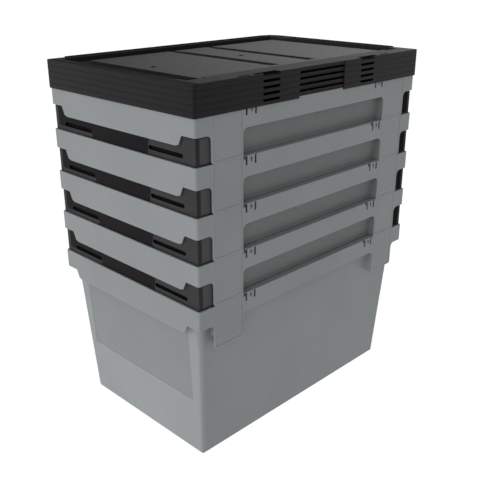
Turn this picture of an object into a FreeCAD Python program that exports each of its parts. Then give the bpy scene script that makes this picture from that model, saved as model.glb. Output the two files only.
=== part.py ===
"""Stack and nest totes: five nested 600 x 400 mm totes with swing-over carrying bars and five loose lids.

Millimetres, +Z up. The origin is the centre of the footprint on the floor. X runs along the long side.
Each tote is one moulding: a tapered tub, a deep rim skirt and four hollow posts on the long sides that
stand on the rim of the tote below. Each carrying bar is hinged in the long walls of its tote. It stands
on the rim of the short end while the totes are nested, and lies across the opening when it is turned in.
"""
import FreeCAD, Part
import os
from math import radians, tan, cos, sin, pi

Vector = FreeCAD.Vector

# Driving dimensions of one tote
TOTE_COUNT = 5
RIM_LENGTH = 600.0
RIM_WIDTH = 400.0
TOTE_HEIGHT = 320.0
NEST_PITCH = 82.5
RIM_CORNER_R = 4.0
WALL = 2.5
FLOOR_THICKNESS = 3.0
RIM_THICKNESS = 3.0

# Tub: how far its outer wall stands in from the rim's outer face
TUB_INSET_TOP = 11.5
TUB_INSET_BOTTOM_END = 28.5
TUB_INSET_BOTTOM_SIDE = 31.0
TUB_CORNER_R = 10.0
TUB_INNER_BEVEL = 4.4
TUB_FOOT_BEVEL = 4.0
BASE_RECESS_DEPTH = 1.2
BASE_RING_WIDTH = 26.0
BASE_BAND_WIDTH = 40.0
END_PANEL_WIDTH = 304.0
END_PANEL_BOTTOM = 118.0
END_PANEL_DEPTH = 0.7

# Skirt under the rim
SKIRT_DEPTH = 36.0
END_APRON_DEPTH = 54.0
END_APRON_WIDTH = 310.0
END_APRON_RAMP = 13.0
END_APRON_RAMP_TOP = 11.5
APRON_CORNER_R = 2.5
RIB_THICKNESS = 2.0
RIB_PITCH = 160.0
RIB_COUNT = 2
RIB_DEPTH = 34.5

# Posts on the long sides, measured from the rim's short ends
POST_START = 34.0
POST_END = 104.5
POST_FOOT_R = 5.0
POST_FIELD_DEPTH = 0.6
POST_FIELD_MARGIN = 3.0
WINDOW_CORNER_R = 9.0

# Snap tongues in the long skirts that hold a lid
TONGUE_CENTRE = 177.0
TONGUE_WIDTH = 17.0
TONGUE_HEIGHT = 13.0
TONGUE_SLOT = 4.5
TONGUE_BUMP_PROUD = 0.5
TONGUE_BUMP_WIDTH = 7.5
TONGUE_BUMP_HEIGHT = 4.0

# Carrying bar, standing on the rim of its short end
BAR_SKIRT_GAP = 0.5
BAR_HEIGHT = 44.7
BAR_END_THICKNESS = 8.0
BAR_ARM_THICKNESS = 7.7
BAR_SKIN = 3.0
BAR_CORNER_R = 2.5
BAR_ARM_PLAY = 1.5
PIVOT_FROM_END = 39.0
PIVOT_DROP = 8.0
PIVOT_R = 4.0
PIVOT_FLAT_HALF = 2.0
PIVOT_PLAY = 0.05
PIVOT_STUD_BACK = 0.3
LUG_R = 7.5
LUG_FLARE_HEIGHT = 12.0
GRIP_SLOT_START = 81.5
GRIP_SLOT_END = 166.5
GRIP_SLOT_LOW = 9.5
GRIP_SLOT_HEIGHT = 7.2
GRIP_SLOT_DEPTH = 6.0
GRIP_SLOT_R = 2.5
GRIP_ZONE_DEPTH = 0.8
GRIP_ZONE_LOW = 2.5
GRIP_ZONE_START = 78.0
GRIP_ZONE_SLANT = 6.5
ARM_ZONE_MARGIN = 9.0
BAR_RIB_THICKNESS = 2.5
BAR_CELL_COUNT = 2

# Pocket behind each post, where the turned-in bar lies
SLOT_PLAY = 1.5
POCKET_SWEEP_PLAY = 1.5
POCKET_END_PLAY = 0.8

# Lid
LID_COUNT = 5
LID_PITCH = 10.3
LID_DROP = 5.7
LID_SKIRT = 2.0
LID_RIM_GAP = 0.5
LID_CORNER_R = 4.5
LID_INNER_CORNER_R = 2.5
LID_PANEL_RISE = 1.9
LID_PANEL_THICKNESS = 3.0
LID_PANEL_HALF_LENGTH = 246.0
LID_PANEL_NEAR_END = 158.0
LID_PANEL_FAR_END = 146.0
LID_PANEL_CORNER_R = 4.0
LID_GUTTER_WALL = 1.6
LID_GUTTER_FLOOR = 1.5
LID_GUTTER_NEST_GAP = 0.4
LID_GUTTER_OUTER = 17.0
LID_GUTTER_NEAR_END = 166.0
LID_GUTTER_R = 6.0
LID_GROOVE_X = 51.0
LID_GROOVE_WIDTH = 14.0
LID_GROOVE_DEPTH = 1.8
LID_GROOVE_END_GAP = 24.0
LID_RIB_DEPTH = 3.0
LID_LIP_HEIGHT = 2.0
LID_LIP_THICKNESS = 2.0
LID_LIP_INSET = 2.5
LID_LIP_CORNER_R = 30.0
LID_LIP_NEAR_END = 146.0
LID_LIP_LEFT_END = 265.0

# Hinge side of the lid, measured from its middle
HINGE_RIBS_END = 61.9
HINGE_RIBS_SETBACK = 1.8
HINGE_RIBS_LIFT = 3.6
HINGE_SLOT_START = 112.4
HINGE_SLOT_END = 152.3
HINGE_SLOT_GAP = 4.2
HINGE_SLOT_BACK = 12.0
HINGE_LEAD_END = 167.0
HINGE_LEAD_DEPTH = 2.0
HINGE_LEAD_FRONT = 3.0
HINGE_NOTCH_START = 178.0
HINGE_NOTCH_END = 204.0
HINGE_NOTCH_DEPTH = 2.0
HINGE_NOTCH_BACK = 9.0

# Corners are rounded in flats of about this many degrees, and bores have this many sides
CORNER_STEP = 45.0
PLAN_CORNER_STEP = 22.5
WINDOW_CORNER_STEP = 30.0
BORE_SIDES = 8

# Small overlap that joins two volumes of one moulding, and how far a cutter runs past a face
WELD = 0.5
CUTTER_RUN = 10.0

# Places worked out from the sizes above
HALF_LENGTH = RIM_LENGTH / 2
HALF_WIDTH = RIM_WIDTH / 2
SKIRT_INSIDE = HALF_WIDTH - WALL
SKIRT_BOTTOM = TOTE_HEIGHT - SKIRT_DEPTH
POST_FOOT = TOTE_HEIGHT - NEST_PITCH
POST_OUTER_X = HALF_LENGTH - POST_START
POST_INNER_X = HALF_LENGTH - POST_END
BAR_END_X = HALF_LENGTH - WALL - BAR_SKIRT_GAP
BAR_SIDE_Y = HALF_WIDTH - WALL - BAR_SKIRT_GAP
BAR_ARM_Y = BAR_SIDE_Y - BAR_ARM_THICKNESS
BAR_BACK_X = BAR_END_X - BAR_END_THICKNESS
PIVOT_X = HALF_LENGTH - PIVOT_FROM_END
PIVOT_Z = TOTE_HEIGHT - PIVOT_DROP
BAR_REACH = BAR_END_X - PIVOT_X
BAR_SWEEP_R = (BAR_REACH ** 2 + (BAR_HEIGHT + PIVOT_DROP) ** 2) ** 0.5
POCKET_INNER_X = PIVOT_X - BAR_SWEEP_R - POCKET_SWEEP_PLAY
POCKET_FLOOR_Z = PIVOT_Z - PIVOT_DROP - BAR_HEIGHT
BLOCK_CLEARANCE = BAR_ARM_PLAY + WALL / 2 + POCKET_END_PLAY / 2
BAR_ARM_END_X = PIVOT_X + BLOCK_CLEARANCE
POCKET_END_X = PIVOT_X - BLOCK_CLEARANCE + POCKET_END_PLAY
LUG_FLARE_DROP = LUG_FLARE_HEIGHT + PIVOT_DROP
WALL_CUT_END_X = PIVOT_X - (BAR_BACK_X - PIVOT_X) + SLOT_PLAY


def box(x0, x1, y0, y1, z0, z1):
    """Box between six planes given in any order."""
    low = Vector(min(x0, x1), min(y0, y1), min(z0, z1))
    return Part.makeBox(abs(x1 - x0), abs(y1 - y0), abs(z1 - z0), low)


def rounded_polygon(points, radii, place, corner_step=CORNER_STEP):
    """Closed wire through (u, v) points, each corner rounded in short flats; place makes a 3-D point."""
    path = []
    for index, point in enumerate(points):
        corner = Vector(*point, 0)
        radius = radii[index]
        if radius == 0:
            path.append(place(corner))
            continue
        back = (Vector(*points[index - 1], 0) - corner).normalize()
        ahead = (Vector(*points[(index + 1) % len(points)], 0) - corner).normalize()
        half = back.getAngle(ahead) / 2
        centre = corner + (back + ahead).normalize() * (radius / sin(half))
        start = corner + back * (radius / tan(half)) - centre
        finish = corner + ahead * (radius / tan(half)) - centre
        turn = pi - 2 * half
        flats = max(1, round(turn / radians(corner_step)))
        for step in range(flats + 1):
            angle = turn * step / flats
            spoke = (start * sin(turn - angle) + finish * sin(angle)) * (1 / sin(turn))
            path.append(place(centre + spoke))
    return Part.makePolygon(path + path[:1])


def many_sided_bore(radius, length, start):
    """Cutter with BORE_SIDES flats along Y, whose corners lie on the given radius."""
    path = []
    for index in range(BORE_SIDES):
        angle = 2 * pi * index / BORE_SIDES
        path.append(start + Vector(radius * cos(angle), 0, radius * sin(angle)))
    return Part.Face(Part.makePolygon(path + path[:1])).extrude(Vector(0, length, 0))


def plan_slab(length, width, radius, z0, z1, corner_step=PLAN_CORNER_STEP):
    """Prism of a rectangle with rounded corners between two heights."""
    a = length / 2
    b = width / 2
    corners = [(a, b), (-a, b), (-a, -b), (a, -b)]
    wire = rounded_polygon(corners, [radius] * 4, lambda p: Vector(p.x, p.y, z0), corner_step)
    return Part.Face(wire).extrude(Vector(0, 0, z1 - z0))


def plate_on_long_side(points, radii, y0, y1, corner_step=CORNER_STEP):
    """Plate with an outline in X and Z, between two planes across Y."""
    wire = rounded_polygon(points, radii, lambda p: Vector(p.x, y0, p.y), corner_step)
    return Part.Face(wire).extrude(Vector(0, y1 - y0, 0))


def plate_on_short_side(points, radii, x0, x1):
    """Plate with an outline in Y and Z, between two planes across X."""
    wire = rounded_polygon(points, radii, lambda p: Vector(x0, p.x, p.y))
    return Part.Face(wire).extrude(Vector(x1 - x0, 0, 0))


def mirror_x(shape):
    return shape.mirror(Vector(0, 0, 0), Vector(1, 0, 0))


def mirror_y(shape):
    return shape.mirror(Vector(0, 0, 0), Vector(0, 1, 0))


def on_both_ends(shape):
    return [shape, mirror_x(shape)]


def on_both_sides(shape):
    return [shape, mirror_y(shape)]


def on_four_corners(shape):
    return on_both_sides(shape) + on_both_sides(mirror_x(shape))


def tub_inset(z, bottom_inset):
    """Distance from the rim's outer face in to the tub's outer wall at height z."""
    return bottom_inset + (TUB_INSET_TOP - bottom_inset) * z / TOTE_HEIGHT


def tapered_block(low, high, z0, z1):
    """Block whose half length and half width change from the first height to the second."""
    block = Part.makeWedge(-low[0], z0, -low[1], -high[1], -high[0], low[0], z1, low[1], high[1], high[0])
    block.rotate(Vector(0, 0, 0), Vector(1, 0, 0), 90)
    return block


def tub_shell(z0, z1, thickness):
    """Tapered block between two heights, a wall thickness inside the tub's outer faces."""
    sizes = []
    for z in (z0, z1):
        half_x = HALF_LENGTH - tub_inset(z, TUB_INSET_BOTTOM_END) - thickness
        half_y = HALF_WIDTH - tub_inset(z, TUB_INSET_BOTTOM_SIDE) - thickness
        sizes.append((half_x, half_y))
    block = tapered_block(sizes[0], sizes[1], z0, z1)
    upright = [edge for edge in block.Edges if edge.BoundBox.ZLength > WELD]
    if thickness:
        return block.makeChamfer(TUB_INNER_BEVEL, upright)
    return block.makeFillet(TUB_CORNER_R, upright)


def tub_block():
    """Solid outside of the tub, with a bevelled foot."""
    foot_x = HALF_LENGTH - TUB_INSET_BOTTOM_END - TUB_FOOT_BEVEL
    foot_y = HALF_WIDTH - TUB_INSET_BOTTOM_SIDE - TUB_FOOT_BEVEL
    foot = tapered_block((foot_x, foot_y), (foot_x + TOTE_HEIGHT, foot_y + TOTE_HEIGHT), 0, TOTE_HEIGHT)
    return tub_shell(0, TOTE_HEIGHT, 0).common(foot)


def tub_cavity():
    """Inside of the tub, running out past the rim."""
    return tub_shell(FLOOR_THICKNESS, TOTE_HEIGHT + CUTTER_RUN, WALL)


def skirt_ring():
    """Band round the rim, open underneath, with its flat rim on top."""
    outer = plan_slab(RIM_LENGTH, RIM_WIDTH, RIM_CORNER_R, SKIRT_BOTTOM, TOTE_HEIGHT)
    inner = plan_slab(RIM_LENGTH - 2 * WALL, RIM_WIDTH - 2 * WALL, RIM_CORNER_R - WALL,
                      SKIRT_BOTTOM - CUTTER_RUN, TOTE_HEIGHT - RIM_THICKNESS, CORNER_STEP)
    ring = outer.cut(inner)
    slot_end = PIVOT_X + LUG_R + SLOT_PLAY
    tub_y = HALF_WIDTH - TUB_INSET_TOP
    slot = box(POCKET_INNER_X, slot_end, -SKIRT_INSIDE, -tub_y + WELD,
               TOTE_HEIGHT - RIM_THICKNESS - WELD, TOTE_HEIGHT + WELD)
    return ring.cut(on_four_corners(slot))


def end_apron():
    """Deeper middle of the skirt on the short end, with ramps up to the corner notches."""
    half = END_APRON_WIDTH / 2
    bottom = TOTE_HEIGHT - END_APRON_DEPTH
    ramp_foot = bottom + APRON_CORNER_R
    outline = [(-half - END_APRON_RAMP, SKIRT_BOTTOM + WELD), (-half - END_APRON_RAMP, SKIRT_BOTTOM),
               (-half - END_APRON_RAMP_TOP / 2, ramp_foot), (-half + APRON_CORNER_R, bottom),
               (half - APRON_CORNER_R, bottom), (half + END_APRON_RAMP_TOP / 2, ramp_foot),
               (half + END_APRON_RAMP, SKIRT_BOTTOM), (half + END_APRON_RAMP, SKIRT_BOTTOM + WELD)]
    radii = [0, 0, 0, APRON_CORNER_R, APRON_CORNER_R, 0, 0, 0]
    return plate_on_short_side(outline, radii, -HALF_LENGTH, -HALF_LENGTH + WALL)


def post_skin():
    """Face of one post, flush with the skirt, from the skirt down to the rim of the tote below."""
    web_start = -POST_OUTER_X - WINDOW_CORNER_R - WELD
    web_end = -POST_INNER_X + WINDOW_CORNER_R + WELD
    outline = [(web_start, SKIRT_BOTTOM + WELD), (web_start, SKIRT_BOTTOM),
               (-POST_OUTER_X, SKIRT_BOTTOM), (-POST_OUTER_X, POST_FOOT),
               (-POST_INNER_X, POST_FOOT), (-POST_INNER_X, SKIRT_BOTTOM),
               (web_end, SKIRT_BOTTOM), (web_end, SKIRT_BOTTOM + WELD)]
    radii = [0, 0, WINDOW_CORNER_R, POST_FOOT_R, 0, WINDOW_CORNER_R, 0, 0]
    return plate_on_long_side(outline, radii, -HALF_WIDTH, -SKIRT_INSIDE, WINDOW_CORNER_STEP)


def post_field():
    """Shallow sunk field in the face of one post and the skirt above it."""
    left = -POST_OUTER_X + POST_FIELD_MARGIN
    right = -POST_INNER_X - POST_FIELD_MARGIN
    low = POST_FOOT + POST_FIELD_MARGIN
    outline = [(left, TOTE_HEIGHT + WELD), (left, low), (right, low), (right, TOTE_HEIGHT + WELD)]
    radii = [0, POST_FOOT_R, POST_FOOT_R, 0]
    return plate_on_long_side(outline, radii, -HALF_WIDTH - WELD, -HALF_WIDTH + POST_FIELD_DEPTH)


def post_walls():
    """Return wall on the window side of one post, and the floor and end wall of its bar pocket."""
    inward = -HALF_WIDTH + TUB_INSET_BOTTOM_SIDE
    skin = -SKIRT_INSIDE - WELD
    under_rim = TOTE_HEIGHT - RIM_THICKNESS + WELD
    return_wall = box(-POST_INNER_X, -POST_INNER_X - WALL, skin, inward, POST_FOOT, under_rim)
    pocket_floor = box(-POST_INNER_X, -POCKET_END_X - WALL, skin, inward,
                       POCKET_FLOOR_Z - WALL, POCKET_FLOOR_Z)
    end_wall_top = PIVOT_Z - LUG_FLARE_DROP - SLOT_PLAY
    end_wall = box(-POCKET_END_X, -POCKET_END_X - WALL, skin, inward,
                   POCKET_FLOOR_Z - WELD, end_wall_top)
    return return_wall.fuse([pocket_floor, end_wall])


def bar_wall_cut():
    """Opening through the tub's wall that the turned-in bar swings down through."""
    return box(-POCKET_INNER_X, -WALL_CUT_END_X, -SKIRT_INSIDE, -HALF_WIDTH + TUB_INSET_BOTTOM_SIDE,
               POCKET_FLOOR_Z, TOTE_HEIGHT + CUTTER_RUN)


def pivot_bore():
    """Bearing hole for the bar's stud in the tub's wall."""
    start = Vector(-PIVOT_X, -SKIRT_INSIDE + SLOT_PLAY, PIVOT_Z)
    corner_radius = (PIVOT_R + PIVOT_PLAY) / cos(pi / BORE_SIDES)
    return many_sided_bore(corner_radius, TUB_INSET_BOTTOM_SIDE, start)


def skirt_ribs():
    """Stiffening ribs between the skirt and the tub, above the bar of the tote below."""
    bottom = TOTE_HEIGHT - RIB_DEPTH
    top = TOTE_HEIGHT - RIM_THICKNESS + WELD
    half = RIB_THICKNESS / 2
    ribs = []
    for index in range(RIB_COUNT):
        offset = RIB_PITCH * (index - (RIB_COUNT - 1) / 2)
        end_rib = box(-HALF_LENGTH + WALL - WELD, -HALF_LENGTH + TUB_INSET_BOTTOM_END,
                      offset - half, offset + half, bottom, top)
        side_rib = box(offset - half, offset + half,
                       -SKIRT_INSIDE - WELD, -HALF_WIDTH + TUB_INSET_BOTTOM_SIDE, bottom, top)
        ribs += on_both_ends(end_rib)
        ribs += on_both_sides(side_rib)
    return ribs


def snap_tongue_cuts(centre):
    """Two slots beside one snap tongue."""
    half = TONGUE_WIDTH / 2
    low = TOTE_HEIGHT - TONGUE_HEIGHT - RIM_THICKNESS
    cuts = []
    for side in (-1, 1):
        inner = centre + side * half
        cuts.append(box(inner, inner + side * TONGUE_SLOT, -HALF_WIDTH - WELD, -SKIRT_INSIDE + WELD,
                        low, TOTE_HEIGHT + WELD))
    return cuts


def snap_tongue_bump(centre):
    """Catch on the face of one snap tongue."""
    half = TONGUE_BUMP_WIDTH / 2
    middle = TOTE_HEIGHT - (TONGUE_HEIGHT + RIM_THICKNESS) / 2
    return box(centre - half, centre + half, -HALF_WIDTH - TONGUE_BUMP_PROUD, -HALF_WIDTH + WELD,
               middle - TONGUE_BUMP_HEIGHT / 2, middle + TONGUE_BUMP_HEIGHT / 2)


def end_panel():
    """Shallow sunk panel on the tapered short wall, for a label or a print."""
    half = END_PANEL_WIDTH / 2
    bottom = END_PANEL_BOTTOM
    top = SKIRT_BOTTOM
    face_low = -HALF_LENGTH + tub_inset(bottom, TUB_INSET_BOTTOM_END)
    face_high = -HALF_LENGTH + tub_inset(top, TUB_INSET_BOTTOM_END)
    outline = [Vector(face_low - WALL, -half, bottom), Vector(face_low + END_PANEL_DEPTH, -half, bottom),
               Vector(face_high + END_PANEL_DEPTH, -half, top), Vector(face_high - WALL, -half, top)]
    face = Part.Face(Part.makePolygon(outline + outline[:1]))
    return face.extrude(Vector(0, END_PANEL_WIDTH, 0))


def base_recess():
    """Four shallow fields under the base between its ring and its cross bands."""
    half_length = HALF_LENGTH - TUB_INSET_BOTTOM_END - BASE_RING_WIDTH
    half_width = HALF_WIDTH - TUB_INSET_BOTTOM_SIDE - BASE_RING_WIDTH
    band = BASE_BAND_WIDTH / 2
    return box(-half_length, -band, -half_width, -band, -WELD, BASE_RECESS_DEPTH)


def tote():
    """One tote standing on the floor."""
    post_parts = []
    for part in (post_skin(), post_walls()):
        post_parts += on_four_corners(part)
    shape = tub_block().fuse([skirt_ring()] + on_both_ends(end_apron()) + post_parts + skirt_ribs())
    for centre in (-TONGUE_CENTRE, TONGUE_CENTRE):
        shape = shape.fuse(on_both_sides(snap_tongue_bump(centre)))
    cuts = [tub_cavity()] + on_both_ends(end_panel())
    for part in (post_field(), bar_wall_cut(), pivot_bore(), base_recess()):
        cuts += on_four_corners(part)
    for centre in (-TONGUE_CENTRE, TONGUE_CENTRE):
        for cut in snap_tongue_cuts(centre):
            cuts += on_both_sides(cut)
    return shape.cut(cuts).removeSplitter()


def bar_frame():
    """U-shaped body of the left carrying bar, standing on the rim."""
    outer = plan_slab(2 * BAR_END_X, 2 * BAR_SIDE_Y, BAR_CORNER_R, 0, BAR_HEIGHT)
    inner = box(-BAR_BACK_X, HALF_LENGTH, -BAR_ARM_Y, BAR_ARM_Y, -WELD, BAR_HEIGHT + WELD)
    rest = box(-BAR_ARM_END_X, HALF_LENGTH, -HALF_WIDTH, HALF_WIDTH, -WELD, BAR_HEIGHT + WELD)
    return outer.cut([inner, rest])


def bar_lug():
    """Hinge lug at the foot of one arm, with the stud that turns in the tub's wall."""
    low = -PIVOT_DROP - LUG_R
    outline = [(-PIVOT_X - LUG_R, LUG_FLARE_HEIGHT), (-PIVOT_X - LUG_R, low), (-PIVOT_X + LUG_R, low),
               (-PIVOT_X + LUG_R, -PIVOT_DROP), (-BAR_ARM_END_X - WELD, LUG_FLARE_HEIGHT)]
    lug = plate_on_long_side(outline, [0, LUG_R, LUG_R, 0, 0], -BAR_SIDE_Y, -BAR_ARM_Y)
    wall_inside = HALF_WIDTH - tub_inset(PIVOT_Z, TUB_INSET_BOTTOM_SIDE) - WALL
    stud_length = BAR_SIDE_Y - wall_inside - PIVOT_STUD_BACK
    axis_start = Vector(-PIVOT_X, -BAR_SIDE_Y, -PIVOT_DROP)
    round_stud = Part.makeCylinder(PIVOT_R, stud_length, axis_start, Vector(0, 1, 0))
    flats = box(-PIVOT_X - PIVOT_R, -PIVOT_X + PIVOT_R, -BAR_SIDE_Y, -BAR_SIDE_Y + stud_length,
                -PIVOT_DROP - PIVOT_FLAT_HALF, -PIVOT_DROP + PIVOT_FLAT_HALF)
    return lug.fuse(round_stud.common(flats))


def bar_hollows():
    """Open cells at the back of the bar, between ribs, away from the grips."""
    cell = 2 * GRIP_ZONE_START / BAR_CELL_COUNT
    back = -BAR_BACK_X + WELD
    hollows = []
    for index in range(BAR_CELL_COUNT):
        start = -GRIP_ZONE_START + index * cell + BAR_RIB_THICKNESS / 2
        hollows.append(box(-BAR_END_X + BAR_SKIN, back, start, start + cell - BAR_RIB_THICKNESS,
                           BAR_SKIN, BAR_HEIGHT - BAR_SKIN))
    grip = box(-BAR_END_X + BAR_SKIN, back, GRIP_SLOT_START, GRIP_SLOT_END,
               GRIP_SLOT_LOW + GRIP_SLOT_HEIGHT + BAR_SKIN, BAR_HEIGHT - BAR_SKIN)
    return hollows + on_both_sides(grip)


def grip_zone():
    """Sunk zone from the proud middle of the bar to its corner, with a slanted end."""
    past_corner = BAR_SIDE_Y + WELD
    past_top = BAR_HEIGHT + WELD
    outline = [(GRIP_ZONE_START, GRIP_ZONE_LOW), (past_corner, GRIP_ZONE_LOW), (past_corner, past_top),
               (GRIP_ZONE_START + GRIP_ZONE_SLANT, past_top)]
    return plate_on_short_side(outline, [0] * 4, -BAR_END_X - WELD, -BAR_END_X + GRIP_ZONE_DEPTH)


def arm_zone():
    """Sunk zone in the outer face of one arm, behind the corner."""
    return box(-BAR_END_X + ARM_ZONE_MARGIN, -BAR_ARM_END_X + WELD, -BAR_SIDE_Y - WELD,
               -BAR_SIDE_Y + GRIP_ZONE_DEPTH, GRIP_ZONE_LOW, BAR_HEIGHT + WELD)


def grip_slot():
    """Finger slot sunk into the bar's face."""
    high = GRIP_SLOT_LOW + GRIP_SLOT_HEIGHT
    outline = [(GRIP_SLOT_START, GRIP_SLOT_LOW), (GRIP_SLOT_END, GRIP_SLOT_LOW),
               (GRIP_SLOT_END, high), (GRIP_SLOT_START, high)]
    return plate_on_short_side(outline, [GRIP_SLOT_R] * 4, -BAR_END_X - WELD, -BAR_END_X + GRIP_SLOT_DEPTH)


def carrying_bar():
    """Left carrying bar, with its foot at height zero."""
    bar = bar_frame().fuse(on_both_sides(bar_lug()))
    cuts = bar_hollows()
    for part in (grip_zone(), arm_zone(), grip_slot()):
        cuts += on_both_sides(part)
    return bar.cut(cuts).removeSplitter()


def turned_in(bar):
    """The bar swung half a turn about its studs, so that it lies across the opening."""
    shape = bar.copy()
    shape.rotate(Vector(-PIVOT_X, 0, -PIVOT_DROP), Vector(0, 1, 0), 180)
    return shape


def lid_blank():
    """Lid edge with its skirt and ledge, before the hinge side is cut. Height zero is the tote's rim."""
    length = RIM_LENGTH + 2 * (LID_RIM_GAP + LID_SKIRT)
    width = RIM_WIDTH + 2 * (LID_RIM_GAP + LID_SKIRT)
    top = LID_PITCH - LID_DROP
    outer = plan_slab(length, width, LID_CORNER_R, -LID_DROP, top)
    inner = plan_slab(length - 2 * LID_SKIRT, width - 2 * LID_SKIRT, LID_INNER_CORNER_R,
                      -LID_DROP - CUTTER_RUN, 0, CORNER_STEP)
    return outer.cut(inner)


def lid_lip():
    """Thin upright lip along the far side and round to the right one, inside the skirt of the next lid."""
    blocks = []
    foot = LID_PITCH - LID_DROP - WELD
    for thickness, run in ((0, 0), (LID_LIP_THICKNESS, CUTTER_RUN)):
        inset = LID_LIP_INSET + thickness - LID_RIM_GAP - LID_SKIRT
        half_x = HALF_LENGTH - inset
        half_y = HALF_WIDTH - inset
        near = -LID_LIP_NEAR_END - run
        left = -LID_LIP_LEFT_END - run
        radius = LID_LIP_CORNER_R - thickness
        points = [(left, near), (half_x, near), (half_x, half_y), (left, half_y)]
        wire = rounded_polygon(points, [0, 0, radius, 0], lambda p: Vector(p.x, p.y, foot))
        blocks.append(Part.Face(wire).extrude(Vector(0, 0, LID_LIP_HEIGHT + WELD)))
    return blocks[0].cut(blocks[1])


def gutter_outline(grow):
    """Channel round three sides of the panel as an outline in X and Y, widened by grow."""
    outer_x = HALF_LENGTH - LID_GUTTER_OUTER + grow
    outer_y = HALF_WIDTH - LID_GUTTER_OUTER + grow
    inner_x = LID_PANEL_HALF_LENGTH - grow
    inner_y = LID_PANEL_FAR_END - grow
    near = -LID_GUTTER_NEAR_END - grow
    radius = LID_GUTTER_R
    points = [(-outer_x, near), (-inner_x, near), (-inner_x, inner_y), (inner_x, inner_y),
              (inner_x, near), (outer_x, near), (outer_x, outer_y), (-outer_x, outer_y)]
    radii = [radius / 2, 0, LID_PANEL_CORNER_R, LID_PANEL_CORNER_R, 0, radius / 2, radius, radius]
    return points, radii


def gutter_prism(grow, z0, z1):
    points, radii = gutter_outline(grow)
    wire = rounded_polygon(points, radii, lambda p: Vector(p.x, p.y, z0))
    return Part.Face(wire).extrude(Vector(0, 0, z1 - z0))


def lid_pan(grow, z0, z1):
    """Block of the sunk panel's plan, widened by grow on its near side."""
    near = -LID_PANEL_NEAR_END - grow
    return box(-LID_PANEL_HALF_LENGTH, LID_PANEL_HALF_LENGTH, near, LID_PANEL_FAR_END, z0, z1)


def lid_underside_ribs():
    """Stiffening ribs under the lid's panel."""
    low = LID_PANEL_RISE - LID_PANEL_THICKNESS - LID_RIB_DEPTH
    high = low + LID_RIB_DEPTH + WELD
    half = RIB_THICKNESS / 2
    run_x = LID_PANEL_HALF_LENGTH - LID_GUTTER_WALL
    run_y = LID_PANEL_FAR_END - LID_GUTTER_WALL
    ribs = [box(-run_x, run_x, y - half, y + half, low, high) for y in (-run_y / 2, run_y / 2)]
    for x in (-2 * LID_GROOVE_X, 2 * LID_GROOVE_X):
        ribs.append(box(x - half, x + half, -run_y, run_y, low, high))
    return ribs


def hinge_side_cuts():
    """Ribbed recess, hinge slots and notches along the lid's near long side."""
    face = -HALF_WIDTH - LID_RIM_GAP - LID_SKIRT
    top = LID_PITCH - LID_DROP
    past_top = top + CUTTER_RUN
    recess = box(-HINGE_RIBS_END, HINGE_RIBS_END, face - WELD, face + HINGE_RIBS_SETBACK,
                 -LID_DROP - WELD, past_top)
    lift = box(-HINGE_RIBS_END, HINGE_RIBS_END, face - WELD, -HALF_WIDTH,
               -LID_DROP - WELD, -LID_DROP + HINGE_RIBS_LIFT)
    slot = box(HINGE_SLOT_START, HINGE_SLOT_END, face - WELD, face + HINGE_SLOT_BACK,
               top - HINGE_SLOT_GAP, past_top)
    lead = box(HINGE_SLOT_END - WELD, HINGE_LEAD_END, face + HINGE_LEAD_FRONT, face + HINGE_SLOT_BACK,
               top - HINGE_LEAD_DEPTH, past_top)
    notch = box(HINGE_NOTCH_START, HINGE_NOTCH_END, face + HINGE_LEAD_FRONT, face + HINGE_NOTCH_BACK,
                top - HINGE_NOTCH_DEPTH, past_top)
    cuts = [recess, lift]
    for part in (slot, lead, notch):
        cuts += on_both_ends(part)
    return cuts


def lid():
    """One lid, with height zero at the rim that it rests on."""
    top = LID_PITCH - LID_DROP
    gutter_low = top - LID_PITCH + LID_GUTTER_NEST_GAP
    pan = lid_pan(LID_GUTTER_WALL, LID_PANEL_RISE - LID_PANEL_THICKNESS, top)
    gutter_walls = gutter_prism(LID_GUTTER_WALL, gutter_low, top)
    shape = lid_blank().fuse([pan, gutter_walls, lid_lip()] + lid_underside_ribs())
    cuts = [lid_pan(0, LID_PANEL_RISE, top + WELD)]
    cuts.append(gutter_prism(0, gutter_low + LID_GUTTER_FLOOR, top + WELD))
    groove = box(LID_GROOVE_X - LID_GROOVE_WIDTH / 2, LID_GROOVE_X + LID_GROOVE_WIDTH / 2,
                 -LID_PANEL_NEAR_END + LID_GROOVE_END_GAP, LID_PANEL_FAR_END,
                 LID_PANEL_RISE - LID_GROOVE_DEPTH, LID_PANEL_RISE + WELD)
    return shape.cut(cuts + on_both_ends(groove) + hinge_side_cuts()).removeSplitter()


def export(name, shape):
    """Write one node after moulding checks."""
    solids = shape.Solids
    if len(solids) != 1 or not shape.isValid():
        raise ValueError(f"{name}: {len(solids)} solids, valid {shape.isValid()}")
    solids[0].exportStep(f"parts/{name}.step")
    print(name, round(solids[0].Volume / 1000, 1), "cm3,", len(solids[0].Faces), "faces")


def raised(shape, height):
    copy = shape.copy()
    copy.translate(Vector(0, 0, height))
    return copy


def main():
    os.makedirs("parts", exist_ok=True)
    tote_shape = tote()
    bar_shape = carrying_bar()
    lid_shape = lid()
    for index in range(TOTE_COUNT):
        floor = index * NEST_PITCH
        export(f"tote_{index + 1}", raised(tote_shape, floor))
        is_top = index == TOTE_COUNT - 1
        left_bar = turned_in(bar_shape) if is_top else bar_shape
        left_bar = raised(left_bar, floor + TOTE_HEIGHT)
        export(f"bar_{index + 1}_left", left_bar)
        export(f"bar_{index + 1}_right", mirror_x(left_bar))
    top_rim = (TOTE_COUNT - 1) * NEST_PITCH + TOTE_HEIGHT
    for index in range(LID_COUNT):
        export(f"lid_{index + 1}", raised(lid_shape, top_rim + index * LID_PITCH))


main()
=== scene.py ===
# %% [markdown]
# # Nested totes with lids
# Five grey plastic totes stand inside each other, each with two black carrying bars, and five black lids lie on
# the top rim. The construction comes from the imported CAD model. This lesson gives each moulding the soft edges,
# the small marks and the plastic finish that the solids leave out, then lights and frames the set.

# %% Load the frame
from math import radians, sin, cos

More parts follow.
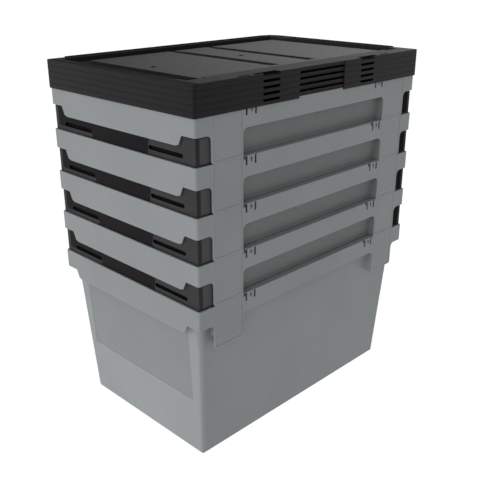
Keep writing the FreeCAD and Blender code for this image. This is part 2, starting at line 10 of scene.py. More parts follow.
import bpy
from mathutils import Matrix, Vector


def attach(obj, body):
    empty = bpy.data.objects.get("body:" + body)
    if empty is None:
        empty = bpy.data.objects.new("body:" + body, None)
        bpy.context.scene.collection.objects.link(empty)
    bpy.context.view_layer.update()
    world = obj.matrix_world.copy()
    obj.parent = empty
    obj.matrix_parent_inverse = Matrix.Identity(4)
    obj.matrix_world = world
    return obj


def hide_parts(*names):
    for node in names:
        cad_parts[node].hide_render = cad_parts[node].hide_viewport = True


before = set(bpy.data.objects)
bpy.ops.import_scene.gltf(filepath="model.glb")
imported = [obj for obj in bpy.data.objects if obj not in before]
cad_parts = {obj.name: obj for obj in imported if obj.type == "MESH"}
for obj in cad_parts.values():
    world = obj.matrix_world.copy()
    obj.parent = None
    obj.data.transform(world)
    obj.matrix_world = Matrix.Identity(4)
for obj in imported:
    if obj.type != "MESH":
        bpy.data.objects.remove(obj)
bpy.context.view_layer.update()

# %% [markdown]
# ## The set in numbers
# Everything is in metres, and the CAD model stands with its lowest tote on the floor. Each nested tote lifts the
# next rim by one pitch, and each lid by a smaller one. With these few numbers one moulding can be dressed and the
# others copied from it.

# %% The set in numbers
TOTES = 5
LIDS = 5
RIM = 0.320
PITCH = 0.0825
POST_FOOT = RIM - PITCH
LID_PITCH = 0.0103
LID_FOOT = RIM + (TOTES - 1) * PITCH
print("top rim:", round(LID_FOOT, 4), "top lid rests at:", round(LID_FOOT + (LIDS - 1) * LID_PITCH, 4))

# %% [markdown]
# ## Camera
# The photograph is taken from a corner, a little above the lids. Its viewpoint was found by matching the corners
# of the rims, lids and floor to their places in the picture. A long lens keeps the upright edges nearly parallel.

# %% Camera
CAMERA_PLACE = Vector((-0.9928, -0.9853, 0.8671))
CAMERA_LENS = 53.390
CAMERA_TURN = radians(-45.040)
CAMERA_DIP = radians(21.621)
CAMERA_ROLL = radians(-0.101)
SENSOR_WIDTH = 36.0
VIEW_DEPTH = 200.0


def add_camera():
    """A camera looking along the measured direction."""
    data = bpy.data.cameras.new("studio_camera")
    data.sensor_width = SENSOR_WIDTH
    data.lens = CAMERA_LENS
    data.clip_end = VIEW_DEPTH
    camera = bpy.data.objects.new("studio_camera", data)
    bpy.context.scene.collection.objects.link(camera)
    back = Vector((sin(CAMERA_TURN) * cos(CAMERA_DIP), -cos(CAMERA_TURN) * cos(CAMERA_DIP), sin(CAMERA_DIP)))
    right = Vector((0, 0, 1)).cross(back).normalized()
    axes = Matrix((right, back.cross(right), back)).transposed().to_4x4()
    camera.matrix_world = Matrix.Translation(CAMERA_PLACE) @ axes @ Matrix.Rotation(CAMERA_ROLL, 4, "Z")
    bpy.context.scene.camera = camera
    return camera


camera = add_camera()
print("camera at", tuple(round(v, 3) for v in camera.matrix_world.translation))

# %% [markdown]
# ## Plastic
# Every piece is injection moulded polypropylene with a fine spark texture. Close up it is slightly mottled, and
# it shines softly. A photograph of the surface could be wrapped round it, but noise in object space needs no
# unwrapping and never repeats. Three layers do it: a broad one for the tone, a finer one for the roughness and a
# very fine one for the grain in the bump.

# %% Plastic material
MOTTLE_SCALE, MOTTLE_DETAIL, MOTTLE_DARK, MOTTLE_PALE = 9.0, 4.0, 0.35, 0.65
SHEEN_SCALE, SHEEN_DETAIL, SHEEN_LOW, SHEEN_HIGH, SHEEN_SPREAD = 160.0, 3.0, 0.3, 0.7, 0.04
GRAIN_SCALE, GRAIN_DETAIL, GRAIN_HEIGHT = 1400.0, 2.0, 0.00005


def add_noise(tree, scale, detail):
    """Noise on object coordinates."""
    place = tree.nodes.new("ShaderNodeTexCoord")
    noise = tree.nodes.new("ShaderNodeTexNoise")
    noise.inputs["Scale"].default_value = scale
    noise.inputs["Detail"].default_value = detail
    tree.links.new(place.outputs["Object"], noise.inputs["Vector"])
    return noise.outputs["Fac"]


def add_mottle(tree, tone, spread):
    """A colour that drifts a little to both sides of a tone."""
    ramp = tree.nodes.new("ShaderNodeValToRGB")
    dark, pale = ramp.color_ramp.elements
    dark.position, dark.color = MOTTLE_DARK, [c * (1 - spread) for c in tone] + [1]
    pale.position, pale.color = MOTTLE_PALE, [c * (1 + spread) for c in tone] + [1]
    tree.links.new(add_noise(tree, MOTTLE_SCALE, MOTTLE_DETAIL), ramp.inputs["Fac"])
    return ramp.outputs["Color"]


def add_sheen(tree, roughness):
    """Roughness that varies a little round its middle value."""
    band = tree.nodes.new("ShaderNodeMapRange")
    band.inputs["From Min"].default_value = SHEEN_LOW
    band.inputs["From Max"].default_value = SHEEN_HIGH
    band.inputs["To Min"].default_value = roughness - SHEEN_SPREAD
    band.inputs["To Max"].default_value = roughness + SHEEN_SPREAD
    tree.links.new(add_noise(tree, SHEEN_SCALE, SHEEN_DETAIL), band.inputs["Value"])
    return band.outputs["Result"]


def plastic(name, tone, spread, roughness, grain, gloss):
    """Moulded plastic with a mottled tone, a soft sheen and a fine grain."""
    material = bpy.data.materials.new(name)
    material.use_nodes = True
    tree = material.node_tree
    shader = tree.nodes["Principled BSDF"]
    shader.inputs["Specular IOR Level"].default_value = gloss
    tree.links.new(add_mottle(tree, tone, spread), shader.inputs["Base Color"])
    tree.links.new(add_sheen(tree, roughness), shader.inputs["Roughness"])
    bump = tree.nodes.new("ShaderNodeBump")
    bump.inputs["Strength"].default_value = grain
    bump.inputs["Distance"].default_value = GRAIN_HEIGHT
    tree.links.new(add_noise(tree, GRAIN_SCALE, GRAIN_DETAIL), bump.inputs["Height"])
    tree.links.new(bump.outputs["Normal"], shader.inputs["Normal"])
    return material


print("mottle, sheen and grain per metre:", MOTTLE_SCALE, SHEEN_SCALE, GRAIN_SCALE)

# %% [markdown]
# ## Grey finishes of the totes
# A tote is one colour, but its faces look different: the frame of a short wall is paler than the textured field
# inside it, and the wall behind the posts and the gaps beside the snap tongues get little light, so their darker
# finishes are painted shade. The frame's paler finish also paints a highlight on the rims of the posts. One recipe
# with other numbers makes each finish.

# %% Grey finishes
tote_grey = plastic("tote_grey_moulding", (0.185, 0.197, 0.203), 0.03, 0.55, 0.4, 0.35)
tote_field = plastic("tote_field_texture", (0.174, 0.186, 0.192), 0.03, 0.60, 0.4, 0.30)
# The frame's paler finish is real on the short walls, and a painted highlight on the rims of the posts.
tote_frame_and_highlight = plastic("tote_frame_texture_and_highlight", (0.212, 0.226, 0.232), 0.03, 0.55, 0.4, 0.30)
# Painted shade: a dark finish for the gaps and grooves at the snap tongues.
tote_tongue_shade = plastic("tote_slot_shade", (0.050, 0.053, 0.054), 0.05, 0.70, 0.3, 0.10)
# Painted shade: a darker finish for the wall behind the posts and the sides of the posts.
tote_shade = plastic("tote_inner_shade", (0.130, 0.141, 0.139), 0.03, 0.60, 0.4, 0.25)
print("grey finishes:", len(bpy.data.materials))

# %% [markdown]
# ## Black finishes of the bars and lids
# The bars have a coarse grip texture on the ends and arms and a polished middle that is nearly black; the middle's
# finish also paints shade on the far grip, and a near-black finish paints shade in the slots and on the far arms.
# The lids have a fine grain that mirrors the room at a low angle, while their channel, ledges, grooves, shoulders
# and ribs take darker matte finishes as painted shade.

# %% Black finishes
bar_black = plastic("bar_black_moulding", (0.014, 0.013, 0.0135), 0.10, 0.55, 0.4, 0.12)
# The dark polished middle; the same finish paints shade on the far grip.
bar_middle_and_shade = plastic("bar_middle_polish_and_shade", (0.0030, 0.0020, 0.0024), 0.10, 0.50, 0.4, 0.07)
grip_black = plastic("bar_grip_texture", (0.0222, 0.0219, 0.0213), 0.10, 0.62, 0.6, 0.18)
arm_black = plastic("bar_arm_texture", (0.040, 0.040, 0.044), 0.08, 0.60, 0.6, 0.27)
# Painted shade: a near-black finish in slots and notches and on the far arms.
slot_painted_shade = plastic("bar_slot_shade", (0.004, 0.004, 0.004), 0.10, 0.80, 0.3, 0.05)
lid_black = plastic("lid_black_moulding", (0.0062, 0.0052, 0.0056), 0.08, 0.45, 0.4, 0.12)
lid_panel = plastic("lid_panel_grain", (0.008, 0.008, 0.008), 0.06, 0.33, 0.25, 0.11)
# Painted shade: a darker matte finish on the groove shoulders, the ribs and the left strip.
lid_shade = plastic("lid_soft_shade", (0.014, 0.014, 0.014), 0.10, 0.75, 0.3, 0.06)
# Painted shade: a dark matte finish in the channel, the grooves and on the ledges inside the lip.
lid_well = plastic("lid_well_shade", (0.016, 0.016, 0.016), 0.10, 0.80, 0.3, 0.05)
print("finishes:", len(bpy.data.materials))

# %% [markdown]
# ## Finish of the solids
# The solids themselves get the main finish of their kind first, and every copy that is made of one starts with it.

# %% Finish of the solids
MAIN_FINISH = {"tote": tote_grey, "bar": bar_black, "lid": lid_black}
for node_name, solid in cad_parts.items():
    solid.data.materials.clear()
    solid.data.materials.append(MAIN_FINISH[node_name.split("_")[0]])
print("solids finished:", len(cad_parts))

# %% [markdown]
# ## Copying the skin of a solid
# A CAD solid arrives as loose triangles, which a bevel can't round. A copy is merged into one skin, and facets
# that lie flat against each other are joined, so that only the real edges of the moulding are left. Most edit-mode
# tools act on all that is selected, so one small helper first selects a single piece.

# %% Copy a skin
MERGE_GAP = 0.00001
FLAT_ANGLE = radians(0.5)


def only(target):
    """Make one object the only selected and active one."""
    for other in bpy.context.selected_objects:
        other.select_set(False)
    target.select_set(True)
    bpy.context.view_layer.objects.active = target


def skin_of(node, name):
    """A merged copy of a CAD node's mesh, with its flat facets joined."""
    skin = bpy.data.objects.new(name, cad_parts[node].data.copy())
    bpy.context.scene.collection.objects.link(skin)
    only(skin)
    bpy.ops.object.mode_set(mode="EDIT")
    bpy.ops.mesh.select_all(action="SELECT")
    bpy.ops.mesh.remove_doubles(threshold=MERGE_GAP)
    bpy.ops.mesh.dissolve_limited(angle_limit=FLAT_ANGLE)
    bpy.ops.object.mode_set(mode="OBJECT")
    print(f"{name}: {len(skin.data.polygons)} faces")
    return skin


# %% [markdown]
# ## Soft edges
# No moulded edge is razor sharp. A Bevel modifier rounds the edges of a skin, and a Weighted Normal modifier lets
# the broad faces set the shading, so they stay flat and only the narrow edges catch the light. A subdivision
# surface would round the edges too, but it would also swell the flat walls.

# %% Soften a skin
EDGE_ANGLE = radians(35)
EDGE_SEGMENTS = 2
BROAD_FACE_WEIGHT = 100


def soften(piece, width):
    """Round the sharp edges of a skin, and let its broad faces set the shading."""
    only(piece)
    edge = piece.modifiers.new("soft_edges", "BEVEL")
    edge.width = width
    edge.segments = EDGE_SEGMENTS
    edge.limit_method = "ANGLE"
    edge.angle_limit = EDGE_ANGLE
    edge.use_clamp_overlap = False
    bpy.ops.object.modifier_apply(modifier=edge.name)
    bpy.ops.object.shade_smooth_by_angle(angle=EDGE_ANGLE)
    flat = piece.modifiers.new("flat_faces", "WEIGHTED_NORMAL")
    flat.keep_sharp = True
    flat.weight = BROAD_FACE_WEIGHT
    bpy.ops.object.modifier_apply(modifier=flat.name)
    print(f"{piece.name}: {len(piece.data.polygons)} faces with soft edges")


# %% [markdown]
# ## Copies and their places
# All totes are the same moulding, and so are all bars and all lids. One of each kind is dressed, and the others
# are copies of it. Each copy has its own mesh, which is moved to its place, because the object itself stays at the
# origin and rides there on the body of its solid.

# %% Copy and place


def repeat(first, name, move):
    """A copy of a piece with its own mesh, moved along."""
    copy = bpy.data.objects.new(name, first.data.copy())
    bpy.context.scene.collection.objects.link(copy)
    copy.data.transform(move)
    return copy


def rise(height):
    """A straight move upwards."""
    return Matrix.Translation(Vector((0, 0, height)))


def place(piece, node, slot):
    """Let a finished piece ride on the body of its CAD node, in place of that node."""
    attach(piece, node)
    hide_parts(node)


print("one nest pitch:", rise(PITCH).translation.z)

# %% [markdown]
# ## A second finish on some faces
# The mouldings aren't equally pale all over: a channel or slot shows almost no light, which a dark finish paints
# in as shade, and a textured grip looks paler than the polished middle. A painted mask could do that, but the
# boundary always follows an edge of the moulding, so the faces between those edges simply get their own material
# slot. They are picked by their place, with a zone for each: a box, which a mirrored axis repeats on its other
# side.

# %% Zones
SLACK = 0.00005
ANY = (-1.0, 1.0)


def zone(x=ANY, y=ANY, z=ANY, mirrored="xy"):
    """A test that says whether a spot lies in a box."""
    def holds(spot):
        for axis, (low, high) in (("x", x), ("y", y), ("z", z)):
            value = getattr(spot, axis)
            if axis in mirrored and (low, high) != ANY:
                value = abs(value)
            if not low - SLACK <= value <= high + SLACK:
                return False
        return True
    return holds


def dress(piece, finish, *zones):
    """Give a finish to the faces whose corners all lie in the zones."""
    if finish.name not in piece.data.materials:
        piece.data.materials.append(finish)
    index = piece.data.materials.find(finish.name)
    inside = [any(holds(vertex.co) for holds in zones) for vertex in piece.data.vertices]
    count = 0
    for face in piece.data.polygons:
        if all(inside[corner] for corner in face.vertices):
            face.material_index = index
            count += 1
    print(f"{piece.name}: {count} faces of {finish.name}")


# %% [markdown]
# ## Cuts for the finishes
# Where a finish ends on a flat wall there is no edge to stop at. A bisect across the whole skin makes one. It
# leaves the shape as it is, and the bevel passes it by, because the cut faces lie flat against each other.

# %% Cut a skin
ALONG_X, ALONG_Y, ALONG_Z = (1, 0, 0), (0, 1, 0), (0, 0, 1)


def cut_across(piece, axis, *stations):
    """Cut a skin at stations along an axis, keeping both sides."""
    only(piece)
    bpy.ops.object.mode_set(mode="EDIT")
    for station in stations:
        bpy.ops.mesh.select_all(action="SELECT")
        bpy.ops.mesh.bisect(plane_co=[station * part for part in axis], plane_no=axis)
    bpy.ops.object.mode_set(mode="OBJECT")
    print(f"{piece.name}: {len(stations)} cuts")


# %% [markdown]
# ## Short walls of a tote
# A broad field is sunk into each short wall, for a label or a print. Its texture is slightly darker than that of
# the smooth frame round it. The frame is dressed first and the field after it, so that the field wins where both
# zones hold a face.

# %% Short walls
SHORT_WALL = zone(x=(0.2675, 0.2885), y=(0, 0.17895), z=(0.0021, 0.3172))
FIELD = zone(x=(0.270, 0.303), y=(0, 0.152), z=(0.118, 0.285))
tote_first = skin_of("tote_1", "tote_moulding_1")

# %% [markdown]
# ## Posts and windows of a tote
# Two posts on each long side stand on the rim below, and between them a window shows the wall of the tub, where
# little light arrives, so that wall gets a darker finish as painted shade. The side of a post that closes the
# window gets the same painted shade, but the skin of the skirt, which shares its corners, does not. A post has a
# narrow rim at its outer side and its foot, which gets the paler frame finish as a painted highlight.

# %% Posts and windows
POST_IN, POST_OUT, POST_RIM = 0.1955, 0.2660, 0.0030
SKIN, SKIN_OUT = 0.200, 0.2025
SHADE_LOW = 0.2410
LONG_WALL = zone(x=(0, 0.2849), y=(0.165, 0.1895), z=(SHADE_LOW, RIM))
POST_SIDE = zone(x=(0.186, 0.198), y=(0.183, SKIN), z=(POST_FOOT, 0.317))
SKIRT_SKIN = zone(x=(0.186, 0.198), y=(SKIN, SKIN_OUT))
POST_EDGE = zone(x=(POST_OUT - POST_RIM, POST_OUT), y=(SKIN, SKIN_OUT), z=(POST_FOOT, RIM))
POST_SOLE = zone(x=(POST_IN, POST_OUT), y=(SKIN, SKIN_OUT), z=(POST_FOOT, POST_FOOT + POST_RIM))
cut_across(tote_first, ALONG_X, -POST_IN, POST_IN, -POST_OUT, POST_OUT, POST_RIM - POST_OUT, POST_OUT - POST_RIM)
cut_across(tote_first, ALONG_Z, POST_FOOT + POST_RIM, SHADE_LOW)

# %% [markdown]
# ## Snap tongues of a tote
# Two tongues on each long side snap over the lid's edge. The gap left of each one and a groove down its middle are
# painted dark on the skin of the skirt, as painted shade.

# %% Snap tongues
GAP_LOW = RIM - 0.006
GROOVE_LOW, GROOVE_HIGH = RIM - 0.011, RIM - 0.003
GROOVE = zone(x=(0.1755, 0.1785), y=(SKIN, SKIN_OUT), z=(GROOVE_LOW, GROOVE_HIGH))
LEFT_GAP = zone(x=(-0.1955, -0.190), y=(SKIN, SKIN_OUT), z=(GAP_LOW, RIM), mirrored="y")
RIGHT_GAP = zone(x=(0.1585, 0.164), y=(SKIN, SKIN_OUT), z=(GAP_LOW, RIM), mirrored="y")
cut_across(tote_first, ALONG_X, -0.1785, -0.1755, 0.1755, 0.1785, -0.190, 0.190, 0.1585)
cut_across(tote_first, ALONG_Z, GROOVE_LOW, GAP_LOW, GROOVE_HIGH)

# %% [markdown]
# ## Dressing the totes
# The finishes go on in order, from the broad zones to the small ones, and the edges are rounded last, so that each
# rounding takes the finish of the face beside it. The lowest tote stands in full light: once the others are
# copied, its long walls lose the painted shade and get the plain grey back.

# %% Dress the totes
TOTE_EDGE = 0.0006
dress(tote_first, tote_frame_and_highlight, SHORT_WALL)
dress(tote_first, tote_field, FIELD)
# Painted shade on the wall behind the posts and on the sides of the posts.
dress(tote_first, tote_shade, LONG_WALL)
dress(tote_first, tote_shade, POST_SIDE)
dress(tote_first, tote_grey, SKIRT_SKIN)
# Painted highlight along the rim of each post.
dress(tote_first, tote_frame_and_highlight, POST_EDGE, POST_SOLE)
# Painted shade in the gaps and grooves at the snap tongues.
dress(tote_first, tote_tongue_shade, LEFT_GAP, RIGHT_GAP, GROOVE)
soften(tote_first, TOTE_EDGE)
for number in range(2, TOTES + 1):
    copy = repeat(tote_first, f"tote_moulding_{number}", rise((number - 1) * PITCH))
    place(copy, f"tote_{number}", "tote_grey")
# The lowest tote's long walls drop the painted shade.
tote_first.data.materials[tote_first.data.materials.find(tote_shade.name)] = tote_grey
place(tote_first, "tote_1", "tote_grey")

# %% [markdown]
# ## Zones of a carrying bar
# A bar is one moulding: a proud polished middle, two sunk grips with a finger slot, and two arms with the hinge
# studs. The grips and the arms have a coarser texture that scatters more light, and the finger slot is painted
# near black as shade. The far grip lies in the shade of the skirt, so the part of it above the lip gets the dark
# finish of the middle as painted shade.

# %% Zones of a bar
BAR_FACE, BAR_SIDE, ZONE_DEPTH = 0.297, 0.197, 0.0008
GRIP_FACE, ARM_FACE = BAR_FACE - ZONE_DEPTH, BAR_SIDE - ZONE_DEPTH
MIDDLE_HALF = 0.0845
FAR_GRIP_END = 0.1875
LIP_TOP = RIM + 0.0085
GRIP = zone(x=(GRIP_FACE, GRIP_FACE))
FAR_GRIP = zone(x=(GRIP_FACE, GRIP_FACE), y=(0.070, FAR_GRIP_END), z=(LIP_TOP, 1), mirrored="x")
MIDDLE = zone(x=(BAR_FACE, 1), y=(0, MIDDLE_HALF))
ARM = zone(x=(0, 0.2881), y=(ARM_FACE, ARM_FACE))
FINGER_SLOT = zone(x=(0.291, GRIP_FACE), y=(0.0815, 0.210), z=(RIM + 0.0095, RIM + 0.0167))
print("grip face at", round(GRIP_FACE, 4), "lip top at", round(LIP_TOP, 4))

# %% [markdown]
# ## One bar for each end
# The left and the right bar are mirror images, so each is dressed on its own. The arms of the right bars are only
# seen through the openings at the far end, so they get the near-black slot finish as painted shade.

# %% Dress a bar
BAR_EDGE = 0.0005


def dressed_bar(side):
    """The bar of the lowest tote with its finishes and soft edges."""
    bar = skin_of(f"bar_1_{side}", f"bar_moulding_1_{side}")
    cut_across(bar, ALONG_Y, MIDDLE_HALF, -MIDDLE_HALF, FAR_GRIP_END)
    cut_across(bar, ALONG_Z, LIP_TOP)
    dress(bar, bar_middle_and_shade, MIDDLE)
    dress(bar, grip_black, GRIP)
    # Painted shade on the far grip above the lip.
    dress(bar, bar_middle_and_shade, FAR_GRIP)
    # Painted shade on the arms of the right bars and in the finger slot.
    dress(bar, arm_black if side == "left" else slot_painted_shade, ARM)
    dress(bar, slot_painted_shade, FINGER_SLOT)
    soften(bar, BAR_EDGE)
    return bar


# %% [markdown]
# ## Ten bars
# The bars of the lower four totes stand up on the rims. Those of the top tote are the same moulding turned half
# round its studs, under the lids, so they are copies turned about the hinge line.

# %% Ten bars
HINGE_X, HINGE_DROP = 0.261, 0.008


def turned_in(sign):
    """Half a turn about the hinge line of the left (-1) or right (1) bar."""
    hinge = Vector((sign * HINGE_X, 0, RIM - HINGE_DROP))
    return Matrix.Translation(hinge) @ Matrix.Rotation(radians(180), 4, "Y") @ Matrix.Translation(-hinge)


for side, sign in (("left", -1), ("right", 1)):
    bar_first = dressed_bar(side)
    for number in range(2, TOTES + 1):
        move = rise((number - 1) * PITCH)
        if number == TOTES:
            move = move @ turned_in(sign)
        copy = repeat(bar_first, f"bar_moulding_{number}_{side}", move)
        place(copy, f"bar_{number}_{side}", "bar_black")
    place(bar_first, f"bar_1_{side}", "bar_black")

# %% [markdown]
# ## Panel of a lid
# The panel is slightly sunk, and two grooves cross it, which get a dark matte finish as painted shade. Each groove
# has shoulders beside it, which get a softer matte finish as painted shade. The shoulders lie at the panel's own
# height, so cuts mark their ends, and each side has a zone of its own: one zone for both would take the whole
# middle of the panel, whose corners all lie on the shoulders.

# %% Zones of the panel
PANEL_TOP = LID_FOOT + 0.0019
PANEL_HALF = 0.246
GROOVE_X, GROOVE_HALF, SHOULDER_HALF = 0.051, 0.007, 0.012
GROOVE_NEAR, GROOVE_FAR = -0.134, 0.122
SHOULDER_IN, SHOULDER_OUT = GROOVE_X - SHOULDER_HALF, GROOVE_X + SHOULDER_HALF
PANEL = zone(x=(0, PANEL_HALF), z=(PANEL_TOP, PANEL_TOP))
LEFT_SHOULDER = zone((-SHOULDER_OUT, -SHOULDER_IN), (GROOVE_NEAR, GROOVE_FAR), (PANEL_TOP, PANEL_TOP), mirrored="")
RIGHT_SHOULDER = zone((SHOULDER_IN, SHOULDER_OUT), (GROOVE_NEAR, GROOVE_FAR), (PANEL_TOP, PANEL_TOP), mirrored="")
PANEL_GROOVE = zone(x=(GROOVE_X - GROOVE_HALF, GROOVE_X + GROOVE_HALF), z=(LID_FOOT, PANEL_TOP))
lid_first = skin_of("lid_1", "lid_moulding_1")
cut_across(lid_first, ALONG_X, -SHOULDER_OUT, -SHOULDER_IN, SHOULDER_IN, SHOULDER_OUT)
cut_across(lid_first, ALONG_Y, GROOVE_NEAR, GROOVE_FAR)

# %% [markdown]
# ## Channel and lip of a lid
# A deep channel runs round three sides of the panel. Behind and to the right of it a low lip keeps the next lid in
# place. The channel and the ledge inside the lip get a dark matte finish as painted shade, so they read as nearly
# black. On the left a narrow ledge with the same painted shade lies between the channel and a paler strip along
# the edge, which gets a softer painted shade.

# %% Zones of the channel and lip
LEDGE = LID_FOOT + 0.0046
CHANNEL_HALF, CHANNEL_NEAR, CHANNEL_FAR = 0.283, -0.166, 0.183
CHANNEL_IN, CHANNEL_IN_FAR, CHANNEL_FLOOR = 0.2415, 0.1415, LID_FOOT - 0.0039
LIP_LEFT, LIP_RIGHT, LIP_NEAR, LIP_FAR = -0.265, 0.300, -0.146, 0.200
STRIP_EDGE = -0.291
DEPTH, ON_TOP = (CHANNEL_FLOOR, LEDGE), (LEDGE, 1)
CHANNEL_ENDS = zone((CHANNEL_IN, CHANNEL_HALF), (CHANNEL_NEAR, CHANNEL_FAR), DEPTH, mirrored="x")
CHANNEL_BACK = zone((0, CHANNEL_HALF), (CHANNEL_IN_FAR, CHANNEL_FAR), DEPTH, mirrored="x")
LEDGE_RIGHT = zone((CHANNEL_HALF, LIP_RIGHT), (LIP_NEAR, LIP_FAR), ON_TOP, mirrored="")
LEDGE_BACK = zone((LIP_LEFT, LIP_RIGHT), (CHANNEL_FAR, LIP_FAR), ON_TOP, mirrored="")
LEDGE_LEFT = zone((STRIP_EDGE, -CHANNEL_HALF), (CHANNEL_NEAR, LIP_FAR), ON_TOP, mirrored="")
STRIP_LEFT = zone(x=(-1, STRIP_EDGE), z=ON_TOP, mirrored="")
cut_across(lid_first, ALONG_X, LIP_LEFT, STRIP_EDGE)
cut_across(lid_first, ALONG_Y, LIP_NEAR, CHANNEL_NEAR)

# %% [markdown]
# ## Slotted edge of a lid
# One long side has a ribbed recess in the middle, with slots, lead-ins and notches on both sides. They are deep
# and narrow, so hardly any light comes out of them again, and the slots and notches get a near-black finish as
# painted shade; the lower part of the ribs gets a softer painted shade.

# %% Zones of the slotted edge
RIB_TOP = LID_FOOT + 0.0006
RIBS = zone((0, 0.0621), (-0.201, -0.193), (-1, RIB_TOP), mirrored="x")
SLOTS = zone((0.1122, 0.1672), (-0.2026, -0.190), mirrored="x")
NOTCHES = zone((0.1778, 0.2042), (-0.2026, -0.193), (LID_FOOT + 0.0024, 1), mirrored="x")
cut_across(lid_first, ALONG_Z, RIB_TOP)

# %% [markdown]
# ## Dressing the lids
# As on the totes, the broad zones come first and the edges are rounded last. The panel mirrors the bright room at
# the low angle that it is seen from, and the matte finishes of painted shade stay dark beside it.

# %% Dress the lids
LID_EDGE = 0.0007
dress(lid_first, lid_panel, PANEL)
# Painted shade on the groove shoulders, the ribs and the left strip.
dress(lid_first, lid_shade, LEFT_SHOULDER)
dress(lid_first, lid_shade, RIGHT_SHOULDER)
dress(lid_first, lid_shade, RIBS)
dress(lid_first, lid_shade, STRIP_LEFT)
# Painted shade on the left ledge, the slots and notches, the channel, the ledges and the grooves.
dress(lid_first, lid_well, LEDGE_LEFT)
dress(lid_first, slot_painted_shade, SLOTS, NOTCHES)
dress(lid_first, lid_well, CHANNEL_ENDS, CHANNEL_BACK)
dress(lid_first, lid_well, LEDGE_RIGHT, LEDGE_BACK)
dress(lid_first, lid_well, PANEL_GROOVE)
soften(lid_first, LID_EDGE)
for number in range(2, LIDS + 1):
    copy = repeat(lid_first, f"lid_moulding_{number}", rise((number - 1) * LID_PITCH))
    place(copy, f"lid_{number}", "lid_black")
place(lid_first, "lid_1", "lid_black")

# %% [markdown]
# ## Gate marks
# Plastic enters a lid mould through small points on the middle line of the panel, and each leaves a round scar: a
# stub in a shallow ring. It could be a bump in the material, but as a real ring it also holds in a close view. A
# short cylinder is inset and pushed in, then inset and pulled out again.

# %% One gate mark
GATE_SIDES, GATE_RADIUS, GATE_DEPTH, GATE_PROUD = 20, 0.0040, 0.0008, 0.0002
GATE_STEPS = ((0.0010, -0.0004), (0.0014, 0.0003))
GATE_SLOPE = 0.0003
GATE_ANGLE = radians(40)
UPWARDS = 0.9


def gate_mark(x):
    """One ring with a sunk middle and a stub in it."""
    bpy.ops.mesh.primitive_cylinder_add(vertices=GATE_SIDES, radius=GATE_RADIUS, depth=GATE_DEPTH,
                                        location=(x, 0, PANEL_TOP + GATE_PROUD))
    mark = bpy.context.active_object
    bpy.ops.object.transform_apply(location=True, rotation=True, scale=True)
    bpy.ops.object.mode_set(mode="EDIT")
    bpy.ops.mesh.select_all(action="DESELECT")
    bpy.ops.object.mode_set(mode="OBJECT")
    for face in mark.data.polygons:
        face.select = face.normal.z > UPWARDS
    bpy.ops.object.mode_set(mode="EDIT")
    for width, depth in GATE_STEPS:
        bpy.ops.mesh.inset(thickness=width, depth=0)
        bpy.ops.mesh.inset(thickness=GATE_SLOPE, depth=depth)
    bpy.ops.object.mode_set(mode="OBJECT")
    bpy.ops.object.shade_smooth_by_angle(angle=GATE_ANGLE)
    return mark


# %% [markdown]
# ## Gate marks on every lid
# The marks of one lid are joined to one piece, and the other lids get copies of it.

# %% Gate marks on every lid
GATE_PLACES = (-0.2145, 0.0)
marks = [gate_mark(x) for x in GATE_PLACES]
only(marks[0])
for mark in marks:
    mark.select_set(True)
bpy.ops.object.join()
gate_first = bpy.context.active_object
gate_first.name = "gate_marks_1"
gate_first.data.materials.clear()
gate_first.data.materials.append(lid_black)
gates = [gate_first]
for number in range(2, LIDS + 1):
    gates.append(repeat(gate_first, f"gate_marks_{number}", rise((number - 1) * LID_PITCH)))
for number, gate in enumerate(gates, start=1):
    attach(gate, f"lid_{number}")
print("gate marks:", len(gate_first.data.polygons), "faces on each lid")

# %% [markdown]
# ## Floor
# The set stands on a white floor that runs back past the edge of the picture. The floor glows a little, as paper
# does on a lit table, so that it stays white right up to the foot of the set.

# %% Floor
FLOOR_SIZE = 80.0
FLOOR_TONE, FLOOR_GLOW, FLOOR_ROUGHNESS = 0.10, 0.96, 0.9


def add_floor():
    """A large pale floor."""
    bpy.ops.object.select_all(action="DESELECT")
    bpy.ops.mesh.primitive_plane_add(size=FLOOR_SIZE)
    floor = bpy.context.active_object
    floor.name = "studio_floor"
    material = bpy.data.materials.new("studio_floor")
    material.use_nodes = True
    shader = material.node_tree.nodes["Principled BSDF"]
    shader.inputs["Base Color"].default_value = (FLOOR_TONE, FLOOR_TONE, FLOOR_TONE, 1)
    shader.inputs["Roughness"].default_value = FLOOR_ROUGHNESS
    shader.inputs["Specular IOR Level"].default_value = 0.0
    shader.inputs["Emission Color"].default_value = (1, 1, 1, 1)
    shader.inputs["Emission Strength"].default_value = FLOOR_GLOW
    floor.data.materials.append(material)
    return floor


print("floor:", add_floor().name)

# %% [markdown]
# ## Light
# Lamps alone would leave small bright spots in the plastic, and broad panels mirror better. So the room itself
# glows by direction: most on the left, less on the right and above, and hardly at all at the back. Near the
# horizon it blends into the white of the floor.

# %% Light
ROOM_BACK, ROOM_LEFT, ROOM_RIGHT, ROOM_TOP = 0.04, 3.1, 1.65, 0.5
HORIZON_LOW, HORIZON_HIGH = 0.02, 0.12


def add_step(tree, operation, first, second):
    """One step of arithmetic on two numbers or sockets."""
    node = tree.nodes.new("ShaderNodeMath")
    node.operation = operation
    for socket, value in zip(node.inputs, (first, second)):
        if isinstance(value, float):
            socket.default_value = value
        else:
            tree.links.new(value, socket)
    return node.outputs["Value"]


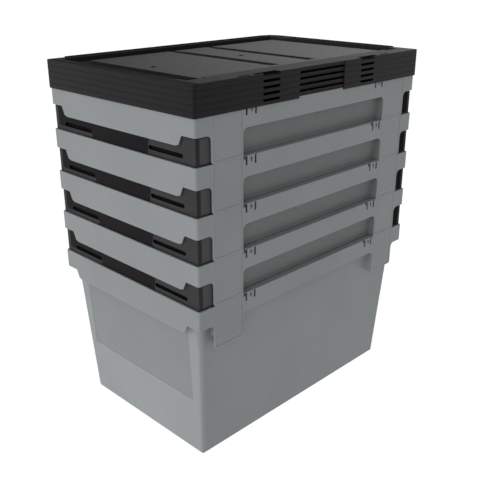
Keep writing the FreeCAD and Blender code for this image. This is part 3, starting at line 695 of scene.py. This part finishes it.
def toward(tree, component, sign):
    """Square of how far a direction points to one side."""
    part = add_step(tree, "MAXIMUM", add_step(tree, "MULTIPLY", component, sign), 0.0)
    return add_step(tree, "MULTIPLY", part, part)


# %% [markdown]
# ## Room
# The glows of the sides are added up and blended with the floor's white by the height of the direction. The right
# side's glow is squared once more, which keeps it narrow, so that the long sides stay darker than the ends.

# %% Room


def add_horizon(tree, height):
    """One below the horizon and nought above it, with a soft step between."""
    horizon = tree.nodes.new("ShaderNodeMapRange")
    horizon.interpolation_type = "SMOOTHSTEP"
    horizon.inputs["From Min"].default_value = HORIZON_LOW
    horizon.inputs["From Max"].default_value = HORIZON_HIGH
    horizon.inputs["To Min"].default_value = 1.0
    horizon.inputs["To Max"].default_value = 0.0
    tree.links.new(height, horizon.inputs["Value"])
    return horizon.outputs["Result"]


def light_room():
    """A room whose walls glow by direction."""
    world = bpy.data.worlds.new("studio_light")
    world.use_nodes = True
    tree = world.node_tree
    direction = tree.nodes.new("ShaderNodeTexCoord")
    split = tree.nodes.new("ShaderNodeSeparateXYZ")
    tree.links.new(direction.outputs["Generated"], split.inputs["Vector"])
    left = add_step(tree, "MULTIPLY", toward(tree, split.outputs["X"], -1.0), ROOM_LEFT)
    right = toward(tree, split.outputs["X"], 1.0)
    right = add_step(tree, "MULTIPLY", add_step(tree, "MULTIPLY", right, right), ROOM_RIGHT)
    top = add_step(tree, "MULTIPLY", toward(tree, split.outputs["Z"], 1.0), ROOM_TOP)
    glow = add_step(tree, "ADD", add_step(tree, "ADD", left, right), add_step(tree, "ADD", top, ROOM_BACK))
    white = add_horizon(tree, split.outputs["Z"])
    glow = add_step(tree, "MULTIPLY", glow, add_step(tree, "SUBTRACT", 1.0, white))
    background = tree.nodes["Background"]
    background.inputs["Color"].default_value = (1, 1, 1, 1)
    tree.links.new(add_step(tree, "ADD", glow, white), background.inputs["Strength"])
    bpy.context.scene.world = world
    return world


print("room:", light_room().name)
bpy.context.scene.view_settings.view_transform = "Standard"
